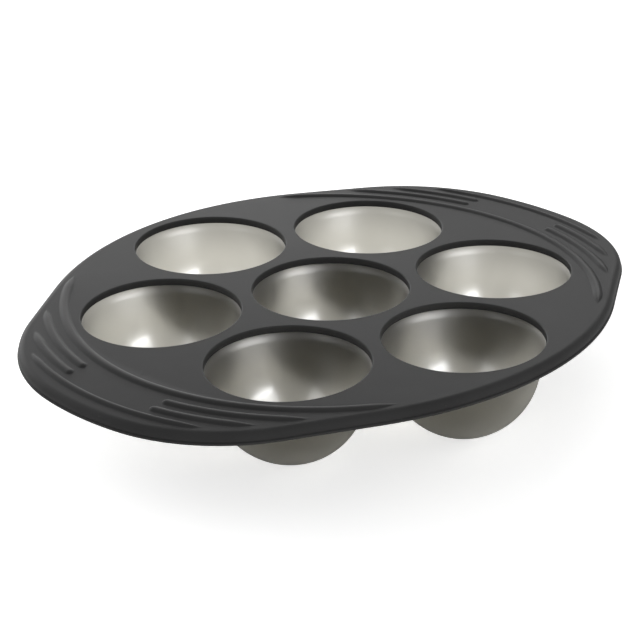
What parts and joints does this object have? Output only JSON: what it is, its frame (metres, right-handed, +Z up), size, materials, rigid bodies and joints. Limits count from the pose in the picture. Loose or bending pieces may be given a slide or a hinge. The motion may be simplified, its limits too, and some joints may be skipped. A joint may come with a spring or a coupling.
{
  "type": "half-sphere mould",
  "caption": "Flexible silicone tray mould with rounded half-sphere cups in a ring about a middle one and two ridged handles, for baking, setting or freezing portions.",
  "frame": {"origin": "middle of the footprint on the surface that the mould stands on, under the middle cup", "axes": "+X from the left handle to the right handle, +Y towards the back, +Z up out of the cups' mouths"},
  "size_m": [0.2962, 0.2402, 0.0445],
  "materials": {
    "tray_silicone": "matte",
    "cup_silicone": "satin"
  },
  "bodies": {
    "root": {"tray": "tray_silicone", "cup_centre": "cup_silicone", "cup_right_back": "cup_silicone", "cup_back": "cup_silicone", "cup_left_back": "cup_silicone", "cup_left_front": "cup_silicone", "cup_front": "cup_silicone", "cup_right_front": "cup_silicone"}
  },
  "joints": []
}
